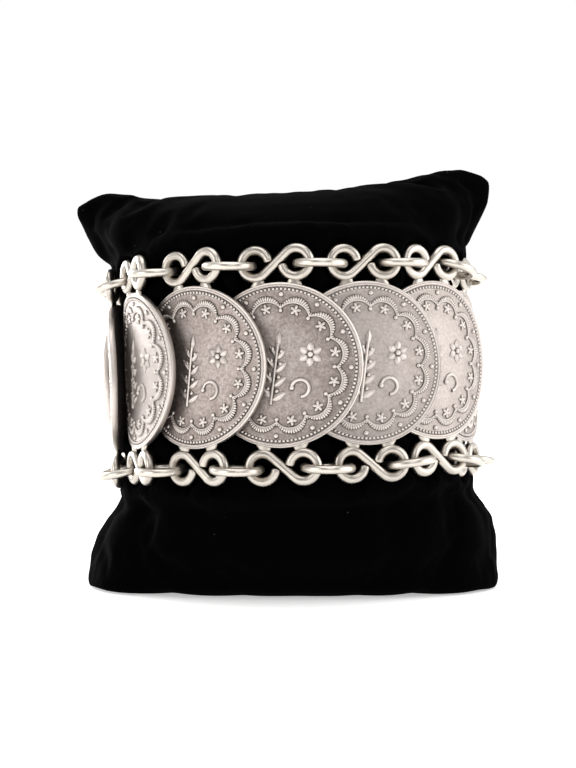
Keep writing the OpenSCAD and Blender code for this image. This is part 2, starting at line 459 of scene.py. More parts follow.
@dataclass(frozen=True)
class SatinSilver:
    """Silver-plated drawn wire and castings, tumbled to a soft cream satin."""

    # Broad soft highlights on a pale metal, a little uneven, and darker where two pieces meet. The ripple
    # is what tumbling leaves: shallow dents about half a millimetre wide.
    name: str = "satin_silver_wire"
    bright: str = "#c4bdb4"
    worn: str = "#a09990"
    recess: str = "#5e554b"
    roughness: float = 0.31
    patch: float = 1.4 * MM
    ripple: float = 0.5 * MM
    ripple_depth: float = 0.02 * MM
    ripple_strength: float = 0.7
    recess_reach: float = 0.5 * MM
    recess_fade: tuple[float, float] = (0.45, 0.85)

    def build(self) -> bpy.types.Material:
        """Make the material.

        Returns:
            The new material.
        """
        material, shader = new_material(self.name)
        tree = material.node_tree
        place = add_node(tree, "ShaderNodeTexCoord").outputs["Object"]
        patch = add_node(
            tree,
            "ShaderNodeTexNoise",
            {"Scale": 1 / self.patch, "Detail": 4, "Roughness": 0.6},
            {"Vector": place},
        )
        ripple = add_node(
            tree,
            "ShaderNodeTexNoise",
            {"Scale": 1 / self.ripple, "Detail": 3, "Roughness": 0.5},
            {"Vector": place},
        )
        corner = add_node(
            tree, "ShaderNodeAmbientOcclusion", {"Distance": self.recess_reach}, samples=8, only_local=True
        )
        open_air = add_node(
            tree,
            "ShaderNodeMapRange",
            {"From Min": self.recess_fade[0], "From Max": self.recess_fade[1]},
            {"Value": corner.outputs["AO"]},
        )
        worn = add_node(
            tree,
            "ShaderNodeMix",
            {"A": linear(self.worn), "B": linear(self.bright)},
            {"Factor": patch.outputs["Fac"]},
            data_type="RGBA",
        )
        colour = add_node(
            tree,
            "ShaderNodeMix",
            {"A": linear(self.recess)},
            {"Factor": open_air.outputs["Result"], "B": worn.outputs["Result"]},
            data_type="RGBA",
        )
        bump = add_node(
            tree,
            "ShaderNodeBump",
            {"Strength": self.ripple_strength, "Distance": self.ripple_depth},
            {"Height": ripple.outputs["Fac"]},
        )
        shader.inputs["Metallic"].default_value = 1
        shader.inputs["Roughness"].default_value = self.roughness
        tree.links.new(colour.outputs["Result"], shader.inputs["Base Color"])
        tree.links.new(bump.outputs["Normal"], shader.inputs["Normal"])
        return material


@dataclass(frozen=True)
class BlackVelvet:
    """Black cotton velvet, woven with a short dense pile."""

    # The pile swallows light, glows faintly where it is seen along its tips, and holds a few specks of
    # lint. Its tufts are about 0.2 mm apart and are drawn at 0.45 mm so that they show.
    name: str = "black_velvet_pile"
    pile: str = "#010101"
    brushed: str = "#020203"
    lint: str = "#2e2e33"
    glow: str = "#aab0c4"
    glow_weight: float = 0.003
    glow_roughness: float = 0.45
    shine: float = 0.01
    roughness: float = 0.95
    stroke: float = 9 * MM
    tuft: float = 0.45 * MM
    tuft_depth: float = 0.12 * MM
    tuft_strength: float = 0.6
    lint_spacing: float = 3.4 * MM
    lint_size: float = 0.022

    def build(self) -> bpy.types.Material:
        """Make the material.

        Returns:
            The new material.
        """
        material, shader = new_material(self.name)
        tree = material.node_tree
        place = add_node(tree, "ShaderNodeTexCoord").outputs["Object"]
        stroke = add_node(
            tree,
            "ShaderNodeTexNoise",
            {"Scale": 1 / self.stroke, "Detail": 5, "Roughness": 0.6},
            {"Vector": place},
        )
        tuft = add_node(
            tree,
            "ShaderNodeTexNoise",
            {"Scale": 1 / self.tuft, "Detail": 2, "Roughness": 0.7},
            {"Vector": place},
        )
        speck = add_node(tree, "ShaderNodeTexVoronoi", {"Scale": 1 / self.lint_spacing}, {"Vector": place})
        lint = add_node(
            tree,
            "ShaderNodeMapRange",
            {"From Min": self.lint_size * 2, "From Max": self.lint_size},
            {"Value": speck.outputs["Distance"]},
        )
        pile = add_node(
            tree,
            "ShaderNodeMix",
            {"A": linear(self.pile), "B": linear(self.brushed)},
            {"Factor": stroke.outputs["Fac"]},
            data_type="RGBA",
        )
        colour = add_node(
            tree,
            "ShaderNodeMix",
            {"B": linear(self.lint)},
            {"Factor": lint.outputs["Result"], "A": pile.outputs["Result"]},
            data_type="RGBA",
        )
        bump = add_node(
            tree,
            "ShaderNodeBump",
            {"Strength": self.tuft_strength, "Distance": self.tuft_depth},
            {"Height": tuft.outputs["Fac"]},
        )
        shader.inputs["Roughness"].default_value = self.roughness
        shader.inputs["Specular IOR Level"].default_value = self.shine
        shader.inputs["Sheen Weight"].default_value = self.glow_weight
        shader.inputs["Sheen Roughness"].default_value = self.glow_roughness
        shader.inputs["Sheen Tint"].default_value = linear(self.glow)
        tree.links.new(colour.outputs["Result"], shader.inputs["Base Color"])
        tree.links.new(bump.outputs["Normal"], shader.inputs["Normal"])
        return material


@dataclass(frozen=True)
class LoopLayout:
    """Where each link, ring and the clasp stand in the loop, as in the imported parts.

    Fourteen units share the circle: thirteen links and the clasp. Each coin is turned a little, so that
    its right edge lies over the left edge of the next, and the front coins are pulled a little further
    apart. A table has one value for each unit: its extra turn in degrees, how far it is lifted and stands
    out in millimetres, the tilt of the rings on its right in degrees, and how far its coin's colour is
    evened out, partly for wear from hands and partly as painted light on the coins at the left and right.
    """

    radius: float = 33.0 * MM
    height: float = 40.3 * MM
    side: float = 1.0 * MM
    roll: float = 2.2
    lean: float = 2.2
    units: int = 14
    front_unit: int = 7
    front_angle: float = -4.2
    stretch: float = 1.6
    shingle: float = 8.0
    extra_shingle: tuple[float, ...] = (0, 0, 1.5, 7, 3, 0, 0, 0, 3, 2, 1.5, 1.5, 1, 0)
    lifts: tuple[float, ...] = (0, 0, 0, -0.1, 0.7, 0.5, 0.2, 0.1, 0.5, -0.3, -0.3, 0, 0, 0)
    outs: tuple[float, ...] = (0, 0, -0.4, -0.4, 0.1, 0, 0, 0, -0.1, -0.9, -1.0, -0.8, -0.5, 0)
    eye_radius: float = 2.32 * MM
    eye_reach: float = 5.82 * MM
    scroll_height: float = 17.08 * MM
    ring_drop: float = 0.3 * MM
    top_tilts: tuple[float, ...] = (3, -4, 2, 14, 6, 5, 4, 3, 15, 8, -3, 4, -2, 3)
    low_tilts: tuple[float, ...] = (-3, 4, -2, 11, 6, 5, 4, -5, 11, 7, 2, -3, 4, -2)
    # Partly painted light: the larger amounts lift the coins at the left and right of the front, as the
    # side lamps would. The smaller ones vary the wear from coin to coin.
    handling_and_light: tuple[float, ...] = (0.3, 0.15, 0.25, 0.5, 0.6, 0, 0, 0.4, 0.45, 0.35, 0.2, 0.3, 0.15)

    def pillow_frame(self) -> Matrix:
        """Matrix of the tilted loop on the pillow.

        Returns:
            The matrix that takes the loop's own frame to the world's.
        """
        place = Matrix.Translation((self.side, 0, self.height))
        roll = Matrix.Rotation(math.radians(-self.roll), 4, "Y")
        return place @ roll @ Matrix.Rotation(math.radians(-self.lean), 4, "X")

    def angle(self, unit: int) -> float:
        """Angle round the loop at which a unit stands, in degrees."""
        even = 360 / self.units * (unit - self.front_unit)
        return self.front_angle + even + self.stretch * math.sin(math.radians(even))

    def yaw(self, unit: int) -> float:
        """Angle by which a unit is turned about its upright axis, in degrees."""
        return self.angle(unit) - self.shingle - self.extra_shingle[(unit - 1) % self.units]

    def middle(self, unit: int) -> Vector:
        """Middle of a unit.

        Args:
            unit: its number, from 1.

        Returns:
            The place, in the loop's own frame.
        """
        angle = math.radians(self.angle(unit))
        place = (unit - 1) % self.units
        reach = self.radius + self.outs[place] * MM
        return Vector((reach * math.sin(angle), -reach * math.cos(angle), self.lifts[place] * MM))

    def outer_wire(self, unit: int, side: int) -> Vector:
        """Outermost wire of a unit's right (1) or left (-1) eye, in the loop's own frame."""
        yaw = math.radians(self.yaw(unit))
        return self.middle(unit) + side * self.eye_reach * Vector((math.cos(yaw), math.sin(yaw), 0))

    def unit_matrix(self, unit: int) -> Matrix:
        """Matrix that puts a link or the clasp in its place."""
        turn = Matrix.Rotation(math.radians(self.yaw(unit)), 4, "Z")
        return self.pillow_frame() @ Matrix.Translation(self.middle(unit)) @ turn

    def ring_matrix(self, unit: int, row: Row) -> Matrix:
        """Matrix that puts the ring between a unit and the next one in its place.

        Args:
            unit: number of the unit on the ring's left.
            row: the row that the ring is in.

        Returns:
            The matrix, for a ring round the Z axis.
        """
        start = self.outer_wire(unit, 1)
        end = self.outer_wire(unit + 1, -1)
        middle = (start + end) / 2 + Vector((0, 0, row.value * self.scroll_height - self.ring_drop))
        heading = Matrix.Rotation(math.atan2(end.y - start.y, end.x - start.x), 4, "Z")
        level = (end - start).xy.length + 2 * self.eye_radius
        climb = Matrix.Rotation(-math.atan2(end.z - start.z, level), 4, "Y")
        tilts = self.top_tilts if row is Row.TOP else self.low_tilts
        tilt = Matrix.Rotation(math.radians(tilts[unit - 1]), 4, "X")
        return self.pillow_frame() @ Matrix.Translation(middle) @ heading @ climb @ tilt


def report(piece: bpy.types.Object, node: str) -> None:
    """Log a finished piece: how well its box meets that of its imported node, and its number of faces.

    Args:
        piece: the finished piece.
        node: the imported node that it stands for.
    """
    low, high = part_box(node)
    places = [vertex.co for vertex in piece.data.vertices]
    past = max(
        max(abs(min(place[axis] for place in places) - low[axis]) for axis in range(3)),
        max(abs(max(place[axis] for place in places) - high[axis]) for axis in range(3)),
    )
    faces = len(piece.data.polygons)
    log.info("%s stands for %s, box within %.2f mm, %d faces", piece.name, node, past / MM, faces)


def place_copy(
    master: bpy.types.Object, name: str, place: Matrix, node: str, finish: Finish
) -> bpy.types.Object:
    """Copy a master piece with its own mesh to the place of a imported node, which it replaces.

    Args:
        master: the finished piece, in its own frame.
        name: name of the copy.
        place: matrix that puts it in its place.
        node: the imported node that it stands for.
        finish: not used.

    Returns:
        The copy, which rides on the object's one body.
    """
    piece = master.copy()
    piece.data = master.data.copy()
    piece.name = name
    piece.data.name = name
    bpy.context.collection.objects.link(piece)
    piece.data.transform(place)
    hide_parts(node)
    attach(piece, "root")
    report(piece, node)
    return piece


@dataclass
class Coin:
    """One cast coin, built flat in the XY plane with its design towards +Z, then stood up and bent.

    Places and sizes in its design are shares of the coin's radius, and heights with a factor are shares
    of its relief. The design is a generic one: a scalloped border, a sprig, a rosette and a tendril.
    """

    radius: float = 13.85 * MM
    thickness: float = 0.95 * MM
    relief: float = 0.25 * MM
    bend_radius: float = 38.0 * MM
    bend_inset: float = 0.1 * MM
    stamp_roll: float = 4.2
    steps: int = 168

    # The profile runs from the middle over the field to the rim, down the edge and back to the middle.
    field_start: float = 0.06
    field_step: float = 0.085
    field_rings: int = 10
    groove: tuple = ((0.88, 0), (0.897, 0.2), (0.94, 0.27))
    rim: tuple = (
        (0.948, 0.7), (0.954, 0.95), (0.961, 1), (0.968, 0.95), (0.975, 0.68), (0.981, 0.88), (0.988, 1),
        (0.996, 0.75), (1.0, 0.25),
    )
    edge: tuple = ((1.001, 0.65 * MM), (0.999, 0.22 * MM), (0.992, 0.08 * MM), (0.98, 0))
    back_start: float = 0.84
    back_step: float = 0.28
    back_rings: int = 4

    beads: int = 120
    bead_circle: float = 0.919
    bead_size: float = 0.0235

    arches: int = 12
    arch_middle: float = 0.667
    arch_radius: float = 0.178
    arch_spread: float = 86
    hollow_middle: float = 0.578
    hollow_radius: float = 0.199
    line_lift: float = 0.004
    line_wire: float = 0.0145
    ribs: int = 17
    rib_overlap: float = 1.28
    rib_stretch: float = 1.3
    rib_height: float = 0.0245
    shortest_rib: float = 0.012

    dot_circle: float = 0.855
    dot_size: float = 0.033
    dot_height: float = 0.75
    knob_circle: float = 0.657
    knob_size: float = 0.029
    tail_circle: float = 0.7
    tail_size: tuple[float, float, float] = (0.05, 0.019, 0.021)

    star_middle: float = 0.684
    star_radius: float = 0.075
    star_arms: int = 5
    star_core: tuple[float, float] = (0.95, 1.3)
    star_arm: tuple[float, float, float] = (1.02, 0.6, 1.15)

    leaf_height: float = 1.3
    sprig_foot: tuple[float, float] = (-0.08, -0.48)
    sprig_lean: float = 5
    stem_length: float = 0.74
    stem_wire: float = 0.023
    leaf_width: float = 0.42
    # Each leaf has its place along the stem, its side, its length, and its angle from the stem in degrees.
    leaves: tuple = (
        (0.05, 1, 0.21, 54), (0.09, -1, 0.21, 56), (0.22, 1, 0.20, 48), (0.26, -1, 0.20, 50),
        (0.39, 1, 0.19, 44), (0.43, -1, 0.19, 45), (0.55, 1, 0.16, 38), (0.58, -1, 0.16, 40),
        (0.70, 0, 0.19, 0),
    )
    # Each berry has its place along the stem and its side.
    berries: tuple = (
        (0.17, 1), (0.19, -1), (0.34, 1), (0.36, -1), (0.50, 1), (0.53, -1), (0.65, 1), (0.67, -1),
    )
    berry_size: float = 0.029
    berry_height: float = 0.8
    berry_side: float = 0.055

    rosette_place: tuple[float, float] = (0.37, 0.14)
    rosette_ball: float = 0.04
    petals: int = 6
    petal_start: float = 0.025
    petal_length: float = 0.13
    petal_width: float = 0.088

    tendril_place: tuple[float, float] = (0.27, -0.27)
    tendril_reach: float = 0.103
    tendril_start: float = -85
    tendril_turn: float = 265
    tendril_wire: float = 0.023
    tendril_berry: float = 0.035

    # Beyond each reach in this table, from the outermost, a coin's rim is rubbed by that amount.
    rim_rub: tuple = ((0.985, 0.8), (0.977, 0.5), (0.945, 0.35))
    relief_rub: float = 0.55
    most_rub: float = 0.75
    bath_start: float = 0.48
    bath_start_fade: float = 0.2
    bath_end: float = 0.9
    bath_end_fade: float = 0.02

    def blank(self) -> bpy.types.Object:
        """Turn the coin's blank from its profile: field, bead groove, rim, edge and back.

        Returns:
            The blank, with its field at height 0.
        """
        points = [(0.0, 0.0)]
        points += [(self.field_start + self.field_step * ring, 0.0) for ring in range(self.field_rings)]
        points += [(reach, self.relief * height) for reach, height in self.groove + self.rim]
        points += [(reach, height - self.thickness) for reach, height in self.edge]
        back = [self.back_start - self.back_step * ring for ring in range(self.back_rings)]
        points += [(reach, -self.thickness) for reach in back]
        profile = [Vector((reach * self.radius, 0, height)) for reach, height in points]
        deselect()
        bpy.ops.mesh.primitive_plane_add(size=MM, location=profile[0])
        piece = settle("coin_blank")
        with editing(piece):
            bpy.ops.mesh.merge(type="CENTER")
            for start, end in zip(profile, profile[1:]):
                bpy.ops.mesh.extrude_vertices_move(TRANSFORM_OT_translate={"value": end - start})
            bpy.ops.mesh.select_all(action="SELECT")
            bpy.ops.mesh.spin(steps=self.steps, angle=math.tau, center=(0, 0, 0), axis=(0, 0, 1))
            bpy.ops.mesh.remove_doubles(threshold=WELD)
            bpy.ops.mesh.normals_make_consistent(inside=False)
        return piece

    def bead_ring(self) -> bpy.types.Object:
        """Ring of fine beads inside the rim.

        Returns:
            The ring of beads.
        """
        size = self.bead_size * self.radius
        piece = ball((self.bead_circle * self.radius, 0, 0), (size, size, size), 8, 5)
        repeat_round(piece, self.beads)
        return piece

    def dot_ring(self) -> bpy.types.Object:
        """Round dots between the arches and the beads, and a ball with a tail where two arches meet.

        Returns:
            The ring of dots and balls.
        """
        size = self.dot_size * self.radius
        dot = ball((self.dot_circle * self.radius, 0, 0), (size, size, size * self.dot_height), 14, 8)
        knob = ball((self.knob_circle * self.radius, 0, 0), (self.knob_size * self.radius,) * 3, 10, 6)
        tail_size = tuple(share * self.radius for share in self.tail_size)
        tail = ball((self.tail_circle * self.radius, 0, 0), tail_size, 8, 6)
        piece = fuse("dots", [dot, knob, tail])
        repeat_round(piece, self.arches)
        return piece

    def hollow_reach(self, angle: float) -> float:
        """Distance from an arch's middle to its hollow side, as a share of the radius.

        Args:
            angle: direction from the arch's middle, in radians from the outward one.

        Returns:
            The distance along that direction.
        """
        offset = self.arch_middle - self.hollow_middle
        return math.sqrt(
            (offset * math.cos(angle)) ** 2 - offset ** 2 + self.hollow_radius ** 2
        ) - offset * math.cos(angle)

    def arch_ring(self) -> bpy.types.Object:
        """Crescent arches, each a fine line on its hollow side and a fan of ribs outside it.

        Returns:
            The ring of arches.
        """
        parts = []
        spread = math.radians(self.arch_spread)
        for index in range(self.ribs):
            angle = -spread + 2 * spread * index / (self.ribs - 1)
            inner = self.hollow_reach(angle)
            outer = self.arch_radius
            length = max((outer - inner) / 2, self.shortest_rib)
            reach = (outer + inner) / 2
            width = outer * spread / self.ribs * self.rib_overlap
            out = self.arch_middle + reach * math.cos(angle)
            place = Vector((out, reach * math.sin(angle), 0)) * self.radius
            size = Vector((length * self.rib_stretch, width, self.rib_height)) * self.radius
            parts.append(ball(place, size, 8, 6, angle))
        offset = self.arch_middle - self.hollow_middle
        reach = math.atan2(self.arch_radius, offset)
        line = swept_arc(
            Vector((self.hollow_middle * self.radius, 0, self.line_lift * self.radius)),
            self.hollow_radius * self.radius, -reach, 2 * reach, self.line_wire * self.radius, 8, 14,
        )
        piece = fuse("arches", [line, *parts])
        with editing(piece):
            half_step = math.pi / self.arches
            bpy.ops.transform.rotate(value=half_step, orient_axis="Z", center_override=(0, 0, 0))
        repeat_round(piece, self.arches)
        return piece

    def star_ring(self) -> bpy.types.Object:
        """Plump stars, one under each arch, each of oval arms round a ball.

        Returns:
            The ring of stars.
        """
        arm = self.star_radius * self.radius / 2
        core, core_height = self.star_core
        long, wide, high = self.star_arm
        parts = [ball((0, 0, 0), (arm * core, arm * core, self.relief * core_height), 10, 6)]
        for index in range(self.star_arms):
            angle = math.tau * index / self.star_arms
            place = (arm * math.cos(angle), arm * math.sin(angle), 0)
            parts.append(ball(place, (arm * long, arm * wide, self.relief * high), 8, 6, angle))
        piece = fuse("stars", parts)
        with editing(piece):
            half_step = math.pi / self.arches
            bpy.ops.transform.translate(value=(self.star_middle * self.radius, 0, 0))
            bpy.ops.transform.rotate(value=half_step, orient_axis="Z", center_override=(0, 0, 0))
        repeat_round(piece, self.arches)
        return piece

    def leaf(self, foot: Vector, angle: float, length: float, width: float) -> bpy.types.Object:
        """One pointed leaf with a raised midrib.

        Args:
            foot: where it grows from.
            angle: direction of its tip from +Y, in radians clockwise.
            length: its length.
            width: its greatest width.

        Returns:
            The leaf.
        """
        deselect()
        bpy.ops.mesh.primitive_grid_add(x_subdivisions=2, y_subdivisions=8, size=1)
        piece = settle()
        # It is widest a little below its middle, and its midrib stands out over its margins.
        for vertex in piece.data.vertices:
            along = vertex.co.y + 0.5
            belly = math.sin(math.pi * along ** 0.85) ** 0.8 if 0 < along < 1 else 0.04
            rib = 1 if abs(vertex.co.x) < 0.1 else 0.25
            vertex.co = Vector((
                vertex.co.x * width * belly,
                along * length,
                (0.2 + 0.8 * belly) * rib * self.relief * self.leaf_height,
            ))
        with editing(piece):
            bpy.ops.mesh.extrude_region_move(TRANSFORM_OT_translate={"value": (0, 0, -self.relief)})
        tidy_mesh(piece)
        piece.data.transform(Matrix.Translation(foot) @ Matrix.Rotation(-angle, 4, "Z"))
        return piece

    def sprig(self) -> list[bpy.types.Object]:
        """Leafy sprig left of the middle, with berries on short stalks.

        Returns:
            The parts of the sprig.
        """
        foot = Vector((*self.sprig_foot, 0)) * self.radius
        lean = math.radians(self.sprig_lean)
        up = Vector((math.sin(lean), math.cos(lean), 0)) * self.radius
        parts = []
        for along, side, length, angle in self.leaves:
            turn = lean + side * math.radians(angle)
            width = self.leaf_width * length * self.radius
            parts.append(self.leaf(foot + up * along, turn, length * self.radius, width))
        deselect()
        middle = foot + up * self.stem_length / 2
        bpy.ops.mesh.primitive_cylinder_add(
            vertices=8, radius=self.stem_wire * self.radius, depth=self.stem_length * self.radius,
            location=middle, rotation=(math.pi / 2, 0, -lean),
        )
        parts.append(settle())
        berry = self.berry_size * self.radius
        size = (berry, berry, berry * self.berry_height)
        for along, side in self.berries:
            sideways = Vector((up.y, -up.x, 0)) * side * self.berry_side
            parts.append(ball(foot + up * along + sideways, size, 8, 6))
        return parts

    def rosette(self) -> list[bpy.types.Object]:
        """Rosette of pointed petals round a ball, right of the middle.

        Returns:
            The parts of the rosette.
        """
        middle = Vector((*self.rosette_place, 0)) * self.radius
        parts = [ball(middle, (self.rosette_ball * self.radius,) * 3, 10, 6)]
        length = self.petal_length * self.radius
        width = self.petal_width * self.radius
        for index in range(self.petals):
            angle = math.tau * index / self.petals
            out = Vector((math.sin(angle), math.cos(angle), 0)) * self.petal_start * self.radius
            parts.append(self.leaf(middle + out, angle, length, width))
        return parts

    def tendril(self) -> list[bpy.types.Object]:
        """Curled tendril at the lower right, which ends in a berry.

        Returns:
            The parts of the tendril.
        """
        middle = Vector((*self.tendril_place, 0)) * self.radius
        reach = self.tendril_reach * self.radius
        start = math.radians(self.tendril_start)
        turn = math.radians(self.tendril_turn)
        curl = swept_arc(middle, reach, start, turn, self.tendril_wire * self.radius, 8, 16)
        tip = middle + Vector((-reach, 0, 0))
        return [curl, ball(tip, (self.tendril_berry * self.radius,) * 3, 8, 6)]

    def build(self, cast: bpy.types.Material) -> bpy.types.Object:
        """Build the whole coin, standing up and bent.

        Args:
            cast: material of the coin.

        Returns:
            The coin, with its outer face towards -Y and its middle at the origin.
        """
        border = [self.bead_ring(), self.dot_ring(), self.arch_ring(), self.star_ring()]
        stamp = fuse("stamp", border + self.sprig() + self.rosette() + self.tendril())
        stamp.data.transform(Matrix.Rotation(math.radians(-self.stamp_roll), 4, "Z"))
        coin = fuse("coin", [self.blank(), stamp])
        self.mark_wear(coin)
        coin.data.transform(Matrix.Translation((0, 0, self.thickness / 2)))
        coin.data.transform(Matrix.Rotation(math.pi / 2, 4, "X"))
        neutral = self.bend_radius - self.thickness / 2
        along = neutral * math.asin(self.radius / (self.bend_radius - self.bend_inset)) / self.radius
        coin.data.transform(Matrix.Diagonal((along, 1, 1, 1)))
        sides = [vertex.co.x for vertex in coin.data.vertices]
        angle = (max(sides) - min(sides)) / neutral
        apply_modifier(coin, "SIMPLE_DEFORM", deform_method="BEND", deform_axis="Z", angle=angle)
        smooth(coin, 38)
        coin.data.materials.clear()
        coin.data.materials.append(cast)
        return coin

    def rubbed(self, reach: float, height: float) -> float:
        """How bright a point is rubbed.

        Args:
            reach: distance from the coin's middle, as a share of the radius.
            height: height above the field, as a share of the relief.

        Returns:
            From 0, untouched, to 1, bare metal.
        """
        for start, amount in self.rim_rub:
            if reach > start:
                return amount
        return min(max(height * self.relief_rub, 0), self.most_rub)

    def bathed(self, reach: float) -> float:
        """How much of the dark bath stays on the field round the arches.

        Args:
            reach: distance from the coin's middle, as a share of the radius.

        Returns:
            From 0, none, to 1, all of it.
        """
        inner = (reach - self.bath_start) / self.bath_start_fade
        outer = (self.bath_end - reach) / self.bath_end_fade
        return min(max(min(inner, outer), 0), 1)

    def mark_wear(self, coin: bpy.types.Object) -> None:
        """Store where each vertex is rubbed bright, and where the dark bath stays.

        Args:
            coin: the flat coin.
        """
        rub = []
        bath = []
        for vertex in coin.data.vertices:
            reach = vertex.co.xy.length / self.radius
            rub.append(self.rubbed(reach, vertex.co.z / self.relief))
            bath.append(self.bathed(reach))
        for name, values in (("rub", rub), ("bath", bath)):
            coin.data.attributes.new(name, "FLOAT", "POINT").data.foreach_set("value", values)


@dataclass
class Scroll:
    """Wire bent into two eyes joined by a slanted bar, in the XY plane before it is stood up."""

    eye_side: float = 3.5 * MM
    eye_radius: float = 2.34 * MM
    wire: float = 0.84 * MM
    # Angle in degrees by which the free end stops short of the bar.
    free_end: float = 11
    # The free end is rounded in steps, each with its share of the size before it and its length.
    end_steps: tuple = ((0.94, 0.14 * MM), (0.76, 0.12 * MM), (0.45, 0.06 * MM))
    sides: int = 16
    steps: int = 34

    def half(self) -> bpy.types.Object:
        """Right half of the scroll, from the middle of the bar to the free end of its eye.

        Returns:
            The half, open at the middle of the bar.
        """
        lean = math.asin(self.eye_radius / self.eye_side)
        bar = math.sqrt(self.eye_side ** 2 - self.eye_radius ** 2)
        along = Vector((math.cos(lean), math.sin(lean), 0))
        short = math.radians(self.free_end)
        turn = 3 * math.pi / 2 + lean - short
        eye = Vector((self.eye_side, 0, 0))
        deselect()
        bpy.ops.mesh.primitive_circle_add(
            vertices=self.sides, radius=self.wire, rotation=(math.pi / 2, 0, lean + math.pi / 2)
        )
        piece = settle("scroll_half")
        with editing(piece):
            bpy.ops.mesh.extrude_edges_move(TRANSFORM_OT_translate={"value": along * bar})
            bpy.ops.mesh.spin(steps=self.steps, angle=turn, center=eye, axis=(0, 0, 1))
        end = eye + Vector((-math.cos(short), -math.sin(short), 0)) * self.eye_radius
        onward = Vector((-math.sin(short), math.cos(short), 0))

        def at_end(place: Vector) -> bool:
            """Whether a vertex is on the wire's open end."""
            return (place - end).dot(onward) > -0.01 * MM and (place - end).length < 1.2 * self.wire

        with editing(piece, select=False):
            for size, step in self.end_steps:
                select_where(piece, at_end)
                bpy.ops.mesh.extrude_edges_move(TRANSFORM_OT_translate={"value": onward * step})
                end = end + onward * step
                bpy.ops.transform.resize(value=(size,) * 3, center_override=end)
            bpy.ops.mesh.edge_face_add()
        return piece

    def build(self, satin: bpy.types.Material) -> bpy.types.Object:
        """Build the whole scroll, standing in the XZ plane with its middle at the origin.

        Args:
            satin: material of the wire.

        Returns:
            The scroll.
        """
        right = self.half()
        take_up(right)
        bpy.ops.object.duplicate()
        left = bpy.context.object
        left.data.transform(Matrix.Rotation(math.pi, 4, "Z"))
        scroll = fuse("scroll", [right, left])
        tidy_mesh(scroll, 0.01 * MM)
        scroll.data.transform(Matrix.Rotation(math.pi / 2, 4, "X"))
        smooth(scroll, 60)
        scroll.data.materials.append(satin)
        return scroll


@dataclass
class CoinLink:
    """A coin with a scroll above and a mirrored one below, each on two small lugs."""

    coin: Coin = field(default_factory=Coin)
    scroll: Scroll = field(default_factory=Scroll)
    scroll_height: float = 17.08 * MM
    lug_side: float = 3.0 * MM
    lug_width: float = 3.1 * MM
    lug_depth: float = 0.95 * MM
    lug_in_coin: float = 0.75 * MM
    lug_in_eye: float = 0.1 * MM
    # Share of a lug's height, and its width there as a share of the lug's own.
    lug_rows: tuple = ((0.0, 1.35), (0.3, 1.14), (0.5, 0.93), (0.68, 0.84), (0.84, 0.88), (1.0, 1.05))

    def lug(self, side: int, satin: bpy.types.Material) -> bpy.types.Object:
        """Waisted lug between the coin's edge and an eye of the upper scroll.

        Args:
            side: 1 on the right, -1 on the left.
            satin: material of the lug.

        Returns:
            The lug.
        """
        low = self.coin.radius - self.lug_in_coin
        high = self.scroll_height - self.scroll.eye_radius + self.lug_in_eye
        deselect()
        place = (side * self.lug_side, 0, low)
        bpy.ops.mesh.primitive_circle_add(
            vertices=14, radius=self.lug_width / 2, location=place, fill_type="NGON"
        )
        piece = settle()
        for vertex in piece.data.vertices:
            vertex.co.y *= self.lug_depth / self.lug_width
        with editing(piece):
            for (start, start_width), (end, end_width) in zip(self.lug_rows, self.lug_rows[1:]):
                rise = (end - start) * (high - low)
                bpy.ops.mesh.extrude_region_move(TRANSFORM_OT_translate={"value": (0, 0, rise)})
                middle = (side * self.lug_side, 0, low + end * (high - low))
                bpy.ops.transform.resize(value=(end_width / start_width, 1, 1), center_override=middle)
        tidy_mesh(piece)
        smooth(piece, 50)
        piece.data.materials.append(satin)
        return piece

    def half(self, satin: bpy.types.Material) -> bpy.types.Object:
        """Build the upper scroll with its two lugs.

        Args:
            satin: material of the scroll and lugs.

        Returns:
            The scroll and lugs in one piece.
        """
        scroll = self.scroll.build(satin)
        scroll.data.transform(Matrix.Translation((0, 0, self.scroll_height)))
        return fuse("upper", [scroll, self.lug(1, satin), self.lug(-1, satin)])

    def build(self, cast: bpy.types.Material, satin: bpy.types.Material) -> bpy.types.Object:
        """Build the link's master piece in its own frame.

        Args:
            cast: material of the coin.
            satin: material of the scrolls and lugs.

        Returns:
            The master link.
        """
        upper = self.half(satin)
        take_up(upper)
        bpy.ops.object.duplicate()
        lower = bpy.context.object
        lower.data.transform(Matrix.Diagonal((1, 1, -1, 1)))
        lower.data.flip_normals()
        return fuse("coin_link_master", [self.coin.build(cast), upper, lower])


@dataclass
class JumpRing:
    """Round ring of polished wire, with a fine seam where its ends meet."""

    radius: float = 3.98 * MM
    wire: float = 0.72 * MM
    # Angle in degrees of the gap at the seam.
    seam: float = 0.9
    sides: int = 18
    steps: int = 64

    def build(self, polish: bpy.types.Material) -> bpy.types.Object:
        """Build the ring round the Z axis, with its seam towards -Y.

        Args:
            polish: material of the wire.

        Returns:
            The master ring.
        """
        start = math.radians(-90 + self.seam / 2)
        angle = math.radians(360 - self.seam)
        piece = swept_arc(Vector(), self.radius, start, angle, self.wire, self.sides, self.steps)
        piece.name = "jump_ring_master"
        smooth(piece, 50)
        piece.data.materials.append(polish)
        return piece


